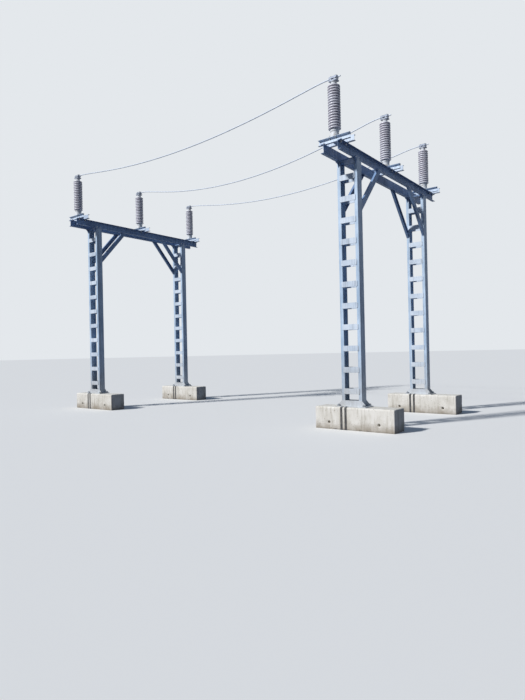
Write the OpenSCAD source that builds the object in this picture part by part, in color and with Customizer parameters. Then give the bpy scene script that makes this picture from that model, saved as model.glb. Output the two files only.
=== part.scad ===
// Open-air switchgear bay of a 110 kV substation, in millimetres.
// Two alike steel portals stand on concrete sleepers. Each carries three post insulators,
// and three bare conductors hang between the portals, one for each phase.
// X runs along the crossbeams, Y along the conductors, and Z = 0 is the ground.

/* [Bay] */
// Distance between the two portals, centre to centre
bay_span = 7700; // [6000:100:10000]
// Distance between neighbouring phases along a crossbeam
phase_gap = 2000; // [1850:10:2400]

/* [Sleepers] */
// Length of a concrete sleeper, along the conductors
sleeper_len = 1550; // [1200:50:2400]
// Width of a sleeper
sleeper_w = 400; // [340:10:600]
// Height of a sleeper
sleeper_h = 400; // [250:10:600]
// Chamfer along the sleeper's upper edges
sleeper_chamfer = 15; // [4:1:25]
// Bore of the lifting holes through a sleeper
lift_hole_d = 50; // [30:5:70]
// Distance between the two lifting holes of a sleeper
lift_hole_gap = 980; // [700:20:1060]
// Height of the lifting holes above the ground
lift_hole_z = 125; // [60:5:180]
// How far the sleepers lie towards the front of the steelwork they carry
sleeper_forward = 80; // [0:10:150]

/* [Legs] */
// Distance between the two legs of a portal, centre to centre
leg_gap = 3040; // [2600:20:3400]
// Length of a leg's channels
leg_h = 4360; // [3600:20:5200]
// Width of a leg over the backs of its channels
leg_w = 400; // [300:10:500]
// Thickness of the channels' base plate
base_t = 15; // [10:1:25]
// Width of a base plate across the leg
base_w = 300; // [280:10:320]
// Length of a base plate along the sleeper
base_len = 600; // [560:10:800]
// Height of the flared shoe plates
shoe_h = 100; // [60:5:150]
// Thickness of the flared shoe plates
shoe_t = 10; // [6:1:16]
// How far a shoe plate flares past the leg on each side
shoe_flare = 85; // [30:5:90]

/* [Battens] */
// Number of battens up each face of a leg
batten_count = 11; // [7:1:13]
// Height of a batten
batten_h = 100; // [70:5:120]
// Thickness of a batten
batten_t = 8; // [5:1:12]
// How far a batten stops short of the leg's outer corner
batten_set = 48; // [47:1:56]
// Middle of the lowest batten above the foot of the leg
batten_first = 263; // [220:1:320]
// Middle of the highest batten below the top of the leg
batten_last = 287; // [200:1:360]

/* [Channels of the legs and the crossbeams] */
// Depth of the large channel
big_depth = 160; // [140:5:200]
// Flange width of the large channel
big_flange = 64; // [60:1:76]
// Web thickness of the large channel
big_web = 5; // [4:0.5:8]
// Middle thickness of the large channel's flange
big_flange_t = 8.4; // [7:0.2:11]

/* [Crossbeams] */
// How far a crossbeam runs past the outer phases
beam_overhang = 150; // [120:10:300]
// Thickness of the cap plate between a leg and the crossbeams
cap_plate_t = 20; // [12:2:30]
// How far a cap plate reaches past the leg on each side
cap_plate_reach = 50; // [30:5:80]
// Height of the gussets under the ends of a cap plate
gusset_drop = 90; // [50:5:130]
// Thickness of the gussets
gusset_t = 10; // [6:1:14]

/* [Knee braces] */
// How far along the crossbeam a knee brace reaches from the leg
brace_run = 750; // [600:10:900]
// How far down the leg a knee brace reaches from the crossbeam
brace_drop = 830; // [700:10:1000]
// Depth of the brace channel
brace_depth = 100; // [80:5:120]
// Flange width of the brace channel
brace_flange = 46; // [36:1:46]
// Web thickness of the brace channel
brace_web = 4.5; // [4:0.5:8]
// Middle thickness of the brace channel's flange
brace_flange_t = 7.6; // [6:0.2:9]

/* [Bearers under the insulators] */
// Length of a bearer channel, across the crossbeams
bearer_len = 620; // [520:10:800]
// How far the bearers sit towards the front of their portal
bearer_forward = 30; // [0:5:60]
// Gap between the backs of a pair of bearer channels
bearer_gap = 120; // [90:5:130]
// Depth of the bearer channel
bearer_depth = 100; // [80:5:140]
// Flange width of the bearer channel
bearer_flange = 46; // [44:1:60]
// Web thickness of the bearer channel
bearer_web = 4.5; // [4:0.5:8]
// Middle thickness of the bearer channel's flange
bearer_flange_t = 7.6; // [6:0.2:10]

/* [Post insulators] */
// Number of sheds on a post insulator
shed_count = 17; // [13:1:20]
// Spacing of the sheds
shed_pitch = 45; // [40:1:52]
// Diameter over the sheds
shed_d = 215; // [190:5:240]
// Diameter of the porcelain core between the sheds
core_d = 128; // [110:2:140]
// Height of the bell-shaped base fitting
bell_h = 150; // [120:5:180]
// Diameter of the base fitting where it stands on the bearers
bell_foot_d = 200; // [190:2:212]
// Diameter of the collar at the base fitting's upper rim
bell_rim_d = 156; // [152:2:176]
// Diameter of the base fitting's waist, under its collar
bell_waist_d = 142; // [138:2:150]
// Height of the collar
bell_collar_h = 40; // [30:2:50]
// Thickness of the base fitting's foot
bell_foot_t = 18; // [12:1:24]
// Height of the cap on top of the porcelain
cap_h = 60; // [45:5:80]
// Diameter of the cap
cap_d = 112; // [100:2:130]
// Depth of the groove round the middle of the cap
cap_groove = 12; // [4:1:14]
// Wall of the cap round the top of the porcelain
cap_wall = 10; // [6:1:12]
// Depth of the socket that holds each end of the porcelain
socket_depth = 34; // [20:1:40]
// Radial gap for the cement round the ends of the porcelain
cement_gap = 4; // [2:0.5:6]

/* [Conductor clamps] */
// Length of a clamp, along the conductor
clamp_len = 150; // [120:5:200]
// Width of a clamp's pad on the cap
clamp_pad_w = 110; // [90:5:130]
// Width of a clamp at the conductor
clamp_w = 84; // [76:2:90]
// Thickness of a clamp's pad
clamp_pad_t = 18; // [12:1:24]
// Width of the rib between a clamp's pad and its head
clamp_rib_w = 46; // [36:2:60]
// Depth of a clamp's head below the conductor's axis
clamp_head_h = 22; // [18:1:26]
// Height of the conductor's axis above the cap
clamp_axis_h = 62; // [50:1:80]
// Height of the keeper above the conductor's axis
keeper_h = 30; // [22:1:40]
// Clearance of the clamp's groove round the conductor
groove_gap = 0.4; // [0.3:0.1:0.8]

/* [Conductors] */
// Diameter of a conductor
wire_d = 24; // [16:1:30]
// Sag of the first phase at midspan
sag_1 = 290; // [200:10:600]
// Sag of the middle phase at midspan
sag_2 = 460; // [200:10:600]
// Sag of the third phase at midspan
sag_3 = 370; // [200:10:600]
// Length over which a conductor eases out of its clamp
wire_ease = 300; // [100:20:500]
// How far a conductor runs out past the end of its clamp
wire_tail = 60; // [30:5:120]

/* [Earthing straps] */
// Width of an earthing strap
strap_w = 40; // [25:5:50]
// Thickness of an earthing strap
strap_t = 5; // [4:1:8]
// Distance of the first strap from the middle of the sleeper
strap_first = 70; // [40:5:100]
// Spacing of the two straps of a leg
strap_gap = 85; // [60:5:120]

/* [Hidden] */

LEFT = -1;
RIGHT = 1;
FRONT = -1;
REAR = 1;

foot_z = sleeper_h + base_t;
beam_z = foot_z + leg_h + cap_plate_t;
bearer_z = beam_z + big_depth;
insulator_z = bearer_z + bearer_depth;
porcelain_z = insulator_z + bell_h;
porcelain_h = shed_count * shed_pitch;
cap_z = porcelain_z + porcelain_h;
clamp_z = cap_z + cap_h;
wire_z = clamp_z + clamp_axis_h;
beam_len = 2 * phase_gap + 2 * beam_overhang;
batten_pitch = (leg_h - batten_first - batten_last) / (batten_count - 1);
batten_len = leg_w - 2 * batten_set;
groove_r = wire_d / 2 + groove_gap;
end_d = core_d - 2 * cement_gap;
top_d = cap_d - 2 * cap_wall - 2 * cement_gap;

// Slope of the inner face of a rolled flange
flange_taper = 0.1;
// Slope over which the corners of a shoe plate stand up from the sleeper
shoe_lip = 6;
// Rounding at the rims of the castings
rim_round = 4;
// Clearance that a cut runs past the faces it goes through
cut = 1;
// Stations along the free span of a conductor, and the sides of its tube
wire_steps = 22;
wire_sides = 8;
// Fineness of the castings, the clamps' grooves and the lifting holes
casting_fn = 48;
groove_fn = 40;
hole_fn = 32;

// A rolled channel's section: back on X = 0, toes towards +X, flanges a little tapered
module channel_section(depth, flange, web, flange_t) {
    rise = (flange - web) / 2 * flange_taper;
    root = flange_t + rise;
    toe = flange_t - rise;
    half = depth / 2;
    fillet = web;
    polygon([
        [0, -half], [flange, -half], [flange, -half + toe],
        [web + fillet, -half + root - fillet * flange_taper], [web, -half + root + fillet],
        [web, half - root - fillet], [web + fillet, half - root + fillet * flange_taper],
        [flange, half - toe], [flange, half], [0, half]
    ]);
}

module big_section() {
    channel_section(big_depth, big_flange, big_web, big_flange_t);
}

// Puts a sleeper at the near or the far end of the bay
module near_ground() {
    translate([0, -bay_span / 2, 0]) children();
}

module far_ground() {
    translate([0, bay_span / 2, 0]) children();
}

// Puts a portal's steelwork or an insulator at the near or the far end of the bay
module near() {
    near_ground() translate([0, sleeper_forward, 0]) children();
}

module far() {
    far_ground() translate([0, sleeper_forward, 0]) children();
}

// Concrete sleeper under one leg, with two lifting holes through it
module sleeper(side) {
    half = sleeper_w / 2;
    c = sleeper_chamfer;
    color("gainsboro")
    translate([side * leg_gap / 2, 0, 0])
    difference() {
        translate([0, sleeper_len / 2, 0])
        rotate([90, 0, 0])
        linear_extrude(sleeper_len)
        polygon([
            [-half, 0], [half, 0], [half, sleeper_h - c], [half - c, sleeper_h],
            [-half + c, sleeper_h], [-half, sleeper_h - c]
        ]);
        for (end = [-1, 1])
            translate([-half - cut, end * lift_hole_gap / 2, lift_hole_z])
            rotate([0, 90, 0])
            cylinder(h = sleeper_w + 2 * cut, d = lift_hole_d, $fn = hole_fn);
    }
}

// Two channels, backs outward, that make one leg
module leg(side) {
    color("lightsteelblue")
    translate([side * leg_gap / 2, 0, foot_z])
    for (face = [FRONT, REAR])
        translate([0, face * leg_w / 2, 0])
        rotate([0, 0, -face * 90])
        linear_extrude(leg_h)
        big_section();
}

// Ladder of flat battens on both faces of one leg
module battens(side) {
    color("lightgrey")
    for (face = [-1, 1], k = [0 : batten_count - 1])
        translate([
            side * leg_gap / 2 + face * (big_depth + batten_t) / 2,
            0,
            foot_z + batten_first + k * batten_pitch
        ])
        cube([batten_t, batten_len, batten_h], center = true);
}

// Base plate and two flared shoe plates under each leg
module leg_shoes() {
    color("silver")
    for (side = [LEFT, RIGHT])
        translate([side * leg_gap / 2, 0, sleeper_h]) {
            translate([-base_w / 2, -base_len / 2, 0])
            cube([base_w, base_len, base_t]);
            for (face = [-1, 1])
                translate([face * (big_depth + shoe_t) / 2, 0, 0])
                shoe_plate();
        }
}

module shoe_plate() {
    half = leg_w / 2;
    translate([-shoe_t / 2, 0, 0])
    rotate([90, 0, 90])
    linear_extrude(shoe_t)
    polygon([
        [-half - shoe_flare, 0], [half + shoe_flare, 0],
        [half + shoe_flare, base_t + shoe_lip], [half, base_t + shoe_h],
        [-half, base_t + shoe_h], [-half - shoe_flare, base_t + shoe_lip]
    ]);
}

// One channel of the crossbeam, its toes outward and flush with the backs of the legs
module beam(face) {
    color("slategray")
    translate([-beam_len / 2, face * (leg_w / 2 - big_flange), beam_z + big_depth / 2])
    rotate([90, 0, 90])
    mirror([face < 0 ? 1 : 0, 0, 0])
    linear_extrude(beam_len)
    big_section();
}

// Cap plate on each leg, with a pair of gussets in the corner under each of its ends
module corner_gussets() {
    color("lightslategray")
    for (side = [LEFT, RIGHT])
        translate([side * leg_gap / 2, 0, beam_z - cap_plate_t]) {
            translate([-big_depth / 2 - cap_plate_reach, -leg_w / 2, 0])
            cube([big_depth + 2 * cap_plate_reach, leg_w, cap_plate_t]);
            for (end = [0, 1], face = [FRONT, REAR])
                mirror([end, 0, 0])
                translate([big_depth / 2, face * (leg_w - big_flange) / 2, 0])
                corner_gusset();
        }
}

module corner_gusset() {
    translate([0, gusset_t / 2, 0])
    rotate([90, 0, 0])
    linear_extrude(gusset_t)
    polygon([[0, 0], [0, -gusset_drop], [cap_plate_reach, 0]]);
}

// Knee braces of one leg, one in the plane of each crossbeam channel, cut square to
// the leg and to the crossbeam
module braces(side) {
    slant = atan2(brace_drop, brace_run);
    reach = norm([brace_run, brace_drop]);
    spare = 2 * brace_depth;
    color("slategray")
    for (face = [FRONT, REAR])
        translate([side * (leg_gap - big_depth) / 2, face * leg_w / 2, beam_z])
        mirror([side > 0 ? 1 : 0, 0, 0])
        intersection() {
            translate([0, 0, -brace_drop])
            rotate([0, -slant, 0])
            translate([-spare, 0, 0])
            rotate([90, 0, 90])
            mirror([face > 0 ? 1 : 0, 0, 0])
            linear_extrude(reach + 2 * spare)
            channel_section(brace_depth, brace_flange, brace_web, brace_flange_t);
            translate([0, -brace_flange - cut, -2 * brace_drop])
            cube([2 * brace_run, 2 * (brace_flange + cut), 2 * brace_drop]);
        }
}

// Pairs of short channels across the crossbeams, one pair under each insulator
module bearers() {
    color("lightgrey")
    for (phase = [-1, 0, 1], hand = [-1, 1])
        translate([
            phase * phase_gap + hand * bearer_gap / 2,
            bearer_len / 2 - bearer_forward,
            bearer_z + bearer_depth / 2
        ])
        rotate([90, 0, 0])
        mirror([hand < 0 ? 1 : 0, 0, 0])
        linear_extrude(bearer_len)
        channel_section(bearer_depth, bearer_flange, bearer_web, bearer_flange_t);
}

// Outline of one shed, from the core out to its lip and back under. Each point is a share
// of the way from the core to the lip, and a share of the way up the pitch
function shed_outline(z) = let (reach = (shed_d - core_d) / 2) [
    for (p = [
        [0, 0], [0.1, 0.1], [0.8, 0.24], [0.95, 0.2],
        [1, 0.27], [0.93, 0.37], [0.18, 0.86], [0, 0.97]
    ])
        [core_d / 2 + p[0] * reach, z + p[1] * shed_pitch]
];

// Porcelain of a post insulator, with both ends standing in their sockets
module insulator(phase) {
    top_z = porcelain_h + socket_depth / 2;
    color("rosybrown")
    translate([phase * phase_gap, 0, porcelain_z])
    rotate_extrude($fn = casting_fn)
    polygon(concat(
        [[0, -socket_depth], [end_d / 2, -socket_depth], [end_d / 2, 0]],
        [for (k = [0 : shed_count - 1]) each shed_outline(k * shed_pitch)],
        [[top_d / 2, porcelain_h], [top_d / 2, top_z], [0, top_z]]
    ));
}

// Bell-shaped iron base: a foot, a hollow flare up to the waist, and a collar round the
// socket that the porcelain stands in
module insulator_bell() {
    rim = bell_rim_d / 2;
    waist = bell_waist_d / 2;
    socket = end_d / 2 + cement_gap;
    collar_z = bell_h - bell_collar_h;
    flare = [bell_foot_d / 2 - rim_round - waist, collar_z - bell_foot_t - (rim - waist)];
    rotate_extrude($fn = casting_fn)
    polygon(concat(
        [[0, 0], [bell_foot_d / 2, 0], [bell_foot_d / 2, bell_foot_t - rim_round]],
        [for (a = [0 : 15 : 90])
            [waist + flare[0] * (1 - sin(a)), bell_foot_t + flare[1] * (1 - cos(a))]],
        [[rim, collar_z], [rim, bell_h - rim_round], [rim - rim_round, bell_h],
         [socket, bell_h], [socket, bell_h - socket_depth], [0, bell_h - socket_depth]]
    ));
}

// Round cap over the top of the porcelain, with a groove round its middle
module insulator_cap() {
    rim = cap_d / 2;
    neck = rim - cap_groove;
    socket = top_d / 2 + cement_gap;
    skirt_z = socket_depth / 2 + cap_wall;
    rotate_extrude($fn = casting_fn)
    polygon([
        [0, socket_depth / 2], [socket, socket_depth / 2], [socket, 0], [rim, 0],
        [rim, skirt_z - rim_round], [neck, skirt_z + rim_round],
        [neck, cap_h - cap_wall - rim_round], [rim, cap_h - cap_wall], [rim, cap_h],
        [0, cap_h]
    ]);
}

module insulator_fittings() {
    color("whitesmoke")
    for (phase = [-1, 0, 1]) {
        translate([phase * phase_gap, 0, insulator_z]) insulator_bell();
        translate([phase * phase_gap, 0, cap_z]) insulator_cap();
    }
}

// Lower halves of the conductor clamps, with the groove that the conductor lies in
module conductor_clamps() {
    pad = clamp_pad_w / 2;
    top = clamp_w / 2;
    rib = clamp_rib_w / 2;
    head_z = clamp_axis_h - clamp_head_h;
    color("silver")
    for (phase = [-1, 0, 1])
        translate([phase * phase_gap, clamp_len / 2, clamp_z])
        rotate([90, 0, 0])
        linear_extrude(clamp_len)
        difference() {
            polygon([
                [-pad, 0], [pad, 0], [pad, clamp_pad_t], [rib, clamp_pad_t + rim_round],
                [rib, head_z], [top, head_z + 2 * rim_round], [top, clamp_axis_h],
                [-top, clamp_axis_h], [-top, head_z + 2 * rim_round], [-rib, head_z],
                [-rib, clamp_pad_t + rim_round], [-pad, clamp_pad_t]
            ]);
            translate([0, clamp_axis_h]) circle(r = groove_r, $fn = groove_fn);
        }
}

// Keepers that hold the conductors down in their clamps
module clamp_keepers() {
    top = clamp_w / 2;
    color("lightgrey")
    for (phase = [-1, 0, 1])
        translate([phase * phase_gap, clamp_len / 2, wire_z])
        rotate([90, 0, 0])
        linear_extrude(clamp_len)
        difference() {
            polygon([
                [-top, 0], [top, 0], [top, keeper_h / 2], [top / 2, keeper_h],
                [-top / 2, keeper_h], [-top, keeper_h / 2]
            ]);
            circle(r = groove_r, $fn = groove_fn);
        }
}

// Flat earthing straps from each shoe over the sleeper's edge and down to the ground
module earth_straps() {
    reach = (sleeper_w - base_w) / 2 + strap_t;
    bend = strap_t / 2;
    color("dimgray")
    for (side = [LEFT, RIGHT], k = [0, 1])
        translate([
            side * leg_gap / 2 - sleeper_w / 2 - strap_t,
            strap_first + k * strap_gap + strap_w / 2,
            0
        ])
        rotate([90, 0, 0])
        linear_extrude(strap_w)
        polygon([
            [0, 0], [strap_t, 0], [strap_t, sleeper_h - sleeper_chamfer],
            [strap_t + sleeper_chamfer, sleeper_h], [reach, sleeper_h],
            [reach, sleeper_h + strap_t],
            [strap_t + sleeper_chamfer - bend, sleeper_h + strap_t],
            [0, sleeper_h - sleeper_chamfer + bend]
        ]);
}

// Distance from a clamp, eased at its start so that the conductor leaves it level
function eased(v) = sqrt(v * v + wire_ease * wire_ease) - wire_ease;

// Height of a hanging conductor below its clamps, at y along a free span
function hang(y, span, sag) =
    y <= 0 || y >= span ? 0 : -sag * eased(y) * eased(span - y) / pow(eased(span / 2), 2);

// Middle line of a conductor: its tails, the clamps, and stations that crowd at the clamps
function wire_route(span, sag, steps) = concat(
    [[0, -clamp_len - wire_tail, 0]],
    [for (i = [0 : steps])
        let (y = span / 2 * (1 - cos(180 * i / steps)))
        [0, y, hang(y, span, sag)]],
    [[0, span + clamp_len + wire_tail, 0]]
);

// A round tube of few sides swept along a route that stays in one upright plane
module tube(route, d, sides) {
    last = len(route) - 1;
    function heading(i) = let (
        a = route[max(i - 1, 0)],
        b = route[min(i + 1, last)]
    ) (b - a) / norm(b - a);
    points = [
        for (i = [0 : last], s = [0 : sides - 1])
            let (h = heading(i), up = [0, -h[2], h[1]], turn = 360 * (s + 0.5) / sides)
            route[i] + d / 2 * (cos(turn) * [1, 0, 0] + sin(turn) * up)
    ];
    walls = [
        for (i = [0 : last - 1], s = [0 : sides - 1])
            let (a = i * sides + s, b = i * sides + (s + 1) % sides)
            [a, a + sides, b + sides, b]
    ];
    ends = [
        [for (s = [0 : sides - 1]) s],
        [for (s = [sides - 1 : -1 : 0]) last * sides + s]
    ];
    polyhedron(points = points, faces = concat(walls, ends), convexity = 4);
}

// One bare conductor between the clamps of the two portals
module conductor(phase, sag) {
    free_span = bay_span - clamp_len;
    start = sleeper_forward - free_span / 2;
    color("silver")
    translate([phase * phase_gap, start, wire_z])
    tube(wire_route(free_span, sag, wire_steps), wire_d, wire_sides);
}

near_ground() sleeper(LEFT);  // near_left_sleeper
near_ground() sleeper(RIGHT);  // near_right_sleeper
near() leg(LEFT);  // near_left_leg
near() leg(RIGHT);  // near_right_leg
near() battens(LEFT);  // near_left_battens
near() battens(RIGHT);  // near_right_battens
near() leg_shoes();  // near_leg_shoes
near() beam(FRONT);  // near_front_beam
near() beam(REAR);  // near_rear_beam
near() corner_gussets();  // near_corner_gussets
near() braces(LEFT);  // near_left_braces
near() braces(RIGHT);  // near_right_braces
near() bearers();  // near_bearers
near() insulator(-1);  // near_insulator_1
near() insulator(0);  // near_insulator_2
near() insulator(1);  // near_insulator_3
near() insulator_fittings();  // near_insulator_fittings
near() conductor_clamps();  // near_conductor_clamps
near() clamp_keepers();  // near_clamp_keepers
near() earth_straps();  // near_earth_straps
far_ground() sleeper(LEFT);  // far_left_sleeper
far_ground() sleeper(RIGHT);  // far_right_sleeper
far() leg(LEFT);  // far_left_leg
far() leg(RIGHT);  // far_right_leg
far() battens(LEFT);  // far_left_battens
far() battens(RIGHT);  // far_right_battens
far() leg_shoes();  // far_leg_shoes
far() beam(FRONT);  // far_front_beam
far() beam(REAR);  // far_rear_beam
far() corner_gussets();  // far_corner_gussets
far() braces(LEFT);  // far_left_braces
far() braces(RIGHT);  // far_right_braces
far() bearers();  // far_bearers
far() insulator(-1);  // far_insulator_1
far() insulator(0);  // far_insulator_2
far() insulator(1);  // far_insulator_3
far() insulator_fittings();  // far_insulator_fittings
far() conductor_clamps();  // far_conductor_clamps
far() clamp_keepers();  // far_clamp_keepers
far() earth_straps();  // far_earth_straps
conductor(-1, sag_1);  // conductor_1
conductor(0, sag_2);  // conductor_2
conductor(1, sag_3);  // conductor_3
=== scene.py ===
"""Substation switchgear bay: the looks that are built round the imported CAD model.

Two steel portals stand on concrete sleepers, with three post insulators on each, and three
bare conductors hang between them. All lengths are in metres, in the frame of the CAD model:
the portals stand at minus and plus Y, and the lines of the conductors are at minus, zero and
plus X. The rolled steel keeps its CAD nodes and gets its finishes here. The sleepers, the
porcelain, the castings and the conductors are replaced by finer surfaces, and the bolts, the
weld beads and the clamps' bows are added.
"""

import logging
import math
from dataclasses import dataclass
from enum import Enum

import bpy
import numpy as np
from bpy.types import ID, Material, Node, NodeSocket, NodeTree, Object
from mathutils import Matrix, Vector


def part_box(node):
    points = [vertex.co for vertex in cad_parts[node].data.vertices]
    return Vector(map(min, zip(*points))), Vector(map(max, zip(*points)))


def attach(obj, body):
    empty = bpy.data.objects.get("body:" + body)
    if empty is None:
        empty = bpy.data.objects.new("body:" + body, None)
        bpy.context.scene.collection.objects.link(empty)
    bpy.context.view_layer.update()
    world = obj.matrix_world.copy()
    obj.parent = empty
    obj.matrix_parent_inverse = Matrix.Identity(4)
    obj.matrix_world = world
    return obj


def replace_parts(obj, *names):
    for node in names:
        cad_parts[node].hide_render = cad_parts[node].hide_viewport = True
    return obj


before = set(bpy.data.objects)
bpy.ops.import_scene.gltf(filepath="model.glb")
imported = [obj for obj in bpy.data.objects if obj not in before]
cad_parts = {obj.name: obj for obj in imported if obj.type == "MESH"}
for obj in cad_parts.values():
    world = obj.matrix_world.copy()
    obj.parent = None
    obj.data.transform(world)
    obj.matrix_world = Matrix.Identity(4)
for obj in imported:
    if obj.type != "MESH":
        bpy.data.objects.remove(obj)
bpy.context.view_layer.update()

LOG = logging.getLogger("bay")
BODY = "root"
Pattern = tuple[list[tuple[Node, str]], dict[str, Node]]
Triple = tuple[float, float, float]


class Portal(Enum):
    """The two portals of the bay, by the start of their nodes' names."""

    NEAR = "near"
    FAR = "far"


class Side(Enum):
    """The two legs of a portal."""

    LEFT = -1
    RIGHT = 1


class Turn(Enum):
    """The way that a bolt's head points."""

    UP = (0.0, 0.0, 1.0)
    DOWN = (0.0, 0.0, -1.0)


@dataclass(frozen=True)
class Bay:
    """Sizes of the bay, as the CAD source has them, in metres."""

    span: float = 7.7
    forward: float = 0.08
    phase_gap: float = 2.0
    leg_gap: float = 3.04
    leg_w: float = 0.4
    leg_h: float = 4.36
    channel_depth: float = 0.16
    channel_flange: float = 0.064
    channel_flange_t: float = 0.0084
    sleeper_h: float = 0.4
    sleeper_w: float = 0.4
    base_t: float = 0.015
    base_w: float = 0.3
    shoe_h: float = 0.1
    shoe_t: float = 0.01
    cap_plate_t: float = 0.02
    batten_count: int = 11
    batten_h: float = 0.1
    batten_set: float = 0.048
    batten_first: float = 0.263
    batten_last: float = 0.287
    brace_run: float = 0.75
    brace_drop: float = 0.83
    brace_depth: float = 0.1
    brace_flange: float = 0.046
    bearer_gap: float = 0.12
    bearer_depth: float = 0.1
    bearer_flange_t: float = 0.0076
    bell_h: float = 0.15
    shed_count: int = 17
    shed_pitch: float = 0.045
    shed_d: float = 0.215
    core_d: float = 0.128
    cap_h: float = 0.06
    clamp_len: float = 0.15
    clamp_pad_t: float = 0.018
    clamp_axis_h: float = 0.062
    keeper_h: float = 0.03
    wire_d: float = 0.024
    wire_ease: float = 0.3
    wire_tail: float = 0.06
    sags: Triple = (0.29, 0.46, 0.37)
    strap_t: float = 0.005
    strap_first: float = 0.07
    strap_gap: float = 0.085

    @property
    def foot_z(self) -> float:
        """Height of a leg's foot."""
        return self.sleeper_h + self.base_t

    @property
    def beam_z(self) -> float:
        """Height of the underside of the crossbeams."""
        return self.foot_z + self.leg_h + self.cap_plate_t

    @property
    def bearer_z(self) -> float:
        """Height of the underside of the bearers."""
        return self.beam_z + self.channel_depth

    @property
    def insulator_z(self) -> float:
        """Height at which the insulators stand."""
        return self.bearer_z + self.bearer_depth

    @property
    def porcelain_z(self) -> float:
        """Height of the lowest shed."""
        return self.insulator_z + self.bell_h

    @property
    def cap_z(self) -> float:
        """Height of the underside of the caps."""
        return self.porcelain_z + self.shed_count * self.shed_pitch

    @property
    def clamp_z(self) -> float:
        """Height at which the clamps stand."""
        return self.cap_z + self.cap_h

    @property
    def wire_z(self) -> float:
        """Height of the conductors' axes in their clamps."""
        return self.clamp_z + self.clamp_axis_h

    def phases(self) -> list[float]:
        """The three X places of the insulators and the conductors."""
        return [-self.phase_gap, 0.0, self.phase_gap]


BAY = Bay()


# Surfaces


@dataclass
class Surface:
    """A mesh held as arrays: points, and faces in groups of one corner count each."""

    points: np.ndarray
    faces: list[np.ndarray]

    @staticmethod
    def tube(rings: np.ndarray) -> "Surface":
        """Joins rings of points into a closed mesh.

        Each quad joins the points (a, b), (a+1, b), (a+1, b+1) and (a, b+1), for point b of
        ring a, so its face points along the second direction crossed with the first. The
        last point of a ring joins its first one, and a flat face closes each end.

        Args:
            rings: an array of rings, points of a ring, and three coordinates.

        Returns:
            The surface.
        """
        count, columns = rings.shape[:2]
        number = np.arange(count * columns).reshape(count, columns)
        after = np.roll(number, -1, axis=1)
        quads = np.stack([number[:-1], number[1:], after[1:], after[:-1]], axis=-1)
        ends = np.stack([number[0], number[-1, ::-1]])
        return Surface(rings.reshape(-1, 3), [quads.reshape(-1, 4), ends])

    @staticmethod
    def lathe(profile: np.ndarray, segments: int) -> "Surface":
        """Turns a profile round the Z axis.

        A point of the profile at radius r and height z goes to (r cos t, r sin t, z), for t
        in equal steps round the circle. The profile needs no point on the axis.

        Args:
            profile: rows of radius and height, from the bottom up.
            segments: how many steps the circle has.

        Returns:
            The surface.
        """
        turn = -np.arange(segments) * 2 * np.pi / segments
        radius, height = profile[:, :1], profile[:, 1:]
        height = np.broadcast_to(height, (len(profile), segments))
        return Surface.tube(np.stack([radius * np.cos(turn), radius * np.sin(turn), height], axis=-1))

    @staticmethod
    def swept(outline: np.ndarray, path: np.ndarray, side: Triple) -> "Surface":
        """Carries a closed outline along a path.

        At each station the outline's first coordinate runs along the side direction, and its
        second one along the path's direction crossed with the side direction.

        Args:
            outline: rows of two coordinates, or one such set for each station.
            path: the stations' points.
            side: a direction that the path never runs along.

        Returns:
            The surface.
        """
        ahead = np.gradient(path, axis=0)
        ahead /= np.linalg.norm(ahead, axis=1, keepdims=True)
        across = np.array(side) - ahead * (ahead @ np.array(side))[:, None]
        across /= np.linalg.norm(across, axis=1, keepdims=True)
        up = np.cross(ahead, across)
        outline = np.broadcast_to(outline, (len(path),) + outline.shape[-2:])
        rings = path[:, None] + outline[..., :1] * across[:, None] + outline[..., 1:] * up[:, None]
        return Surface.tube(rings[:, ::-1])

    @staticmethod
    def joined(parts: list["Surface"]) -> "Surface":
        """Puts several surfaces into one.

        Args:
            parts: the surfaces.

        Returns:
            One surface that holds them all.
        """
        starts = np.cumsum([0] + [len(part.points) for part in parts])
        faces = [group + start for part, start in zip(parts, starts) for group in part.faces]
        return Surface(np.concatenate([part.points for part in parts]), faces)

    def stamped(self, places: np.ndarray | list, turn: Turn = Turn.UP) -> "Surface":
        """Puts the surface at one or many places.

        Every copy is the surface's points, turned so that Z points the way asked, plus the
        place of the copy. The copies are worked out as one array.

        Args:
            places: rows of three coordinates.
            turn: the way that the surface's Z axis points.

        Returns:
            One surface that holds the copies.
        """
        spin = np.array(Vector((0, 0, 1)).rotation_difference(Vector(turn.value)).to_matrix())
        places = np.asarray(places, float).reshape(-1, 3)
        points = (self.points @ spin.T)[None] + places[:, None]
        shift = np.arange(len(places)) * len(self.points)
        faces = [(group[None] + shift[:, None, None]).reshape(-1, group.shape[1]) for group in self.faces]
        return Surface(points.reshape(-1, 3), faces)

    def piece(self, name: str, material: Material, slot: str | None = None, *, crease: float) -> Object:
        """Makes a Blender object of the surface, which rides on the bay's body.

        Args:
            name: the piece's name.
            material: its material.
            slot: the name of the record's material slot; not used.
            crease: the angle in degrees over which an edge stays sharp.

        Returns:
            The object.
        """
        mesh = bpy.data.meshes.new(name)
        mesh.from_pydata(self.points, [], [face for group in self.faces for face in group])
        mesh.shade_smooth()
        mesh.set_sharp_from_angle(angle=math.radians(crease))
        mesh.materials.append(material)
        return settle(shown(name, mesh))


def shown(name: str, data: ID) -> Object:
    """Puts a mesh, lamp or camera into the scene.

    Args:
        name: the object's name.
        data: what it shows.

    Returns:
        The object.
    """
    thing = bpy.data.objects.new(name, data)
    bpy.context.scene.collection.objects.link(thing)
    return thing


def settle(thing: Object) -> Object:
    """Makes a piece ride on the bay's body.

    Args:
        thing: the piece.

    Returns:
        The piece.
    """
    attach(thing, BODY)
    LOG.info("%s: %d faces", thing.name, len(thing.data.polygons))
    return thing


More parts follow.
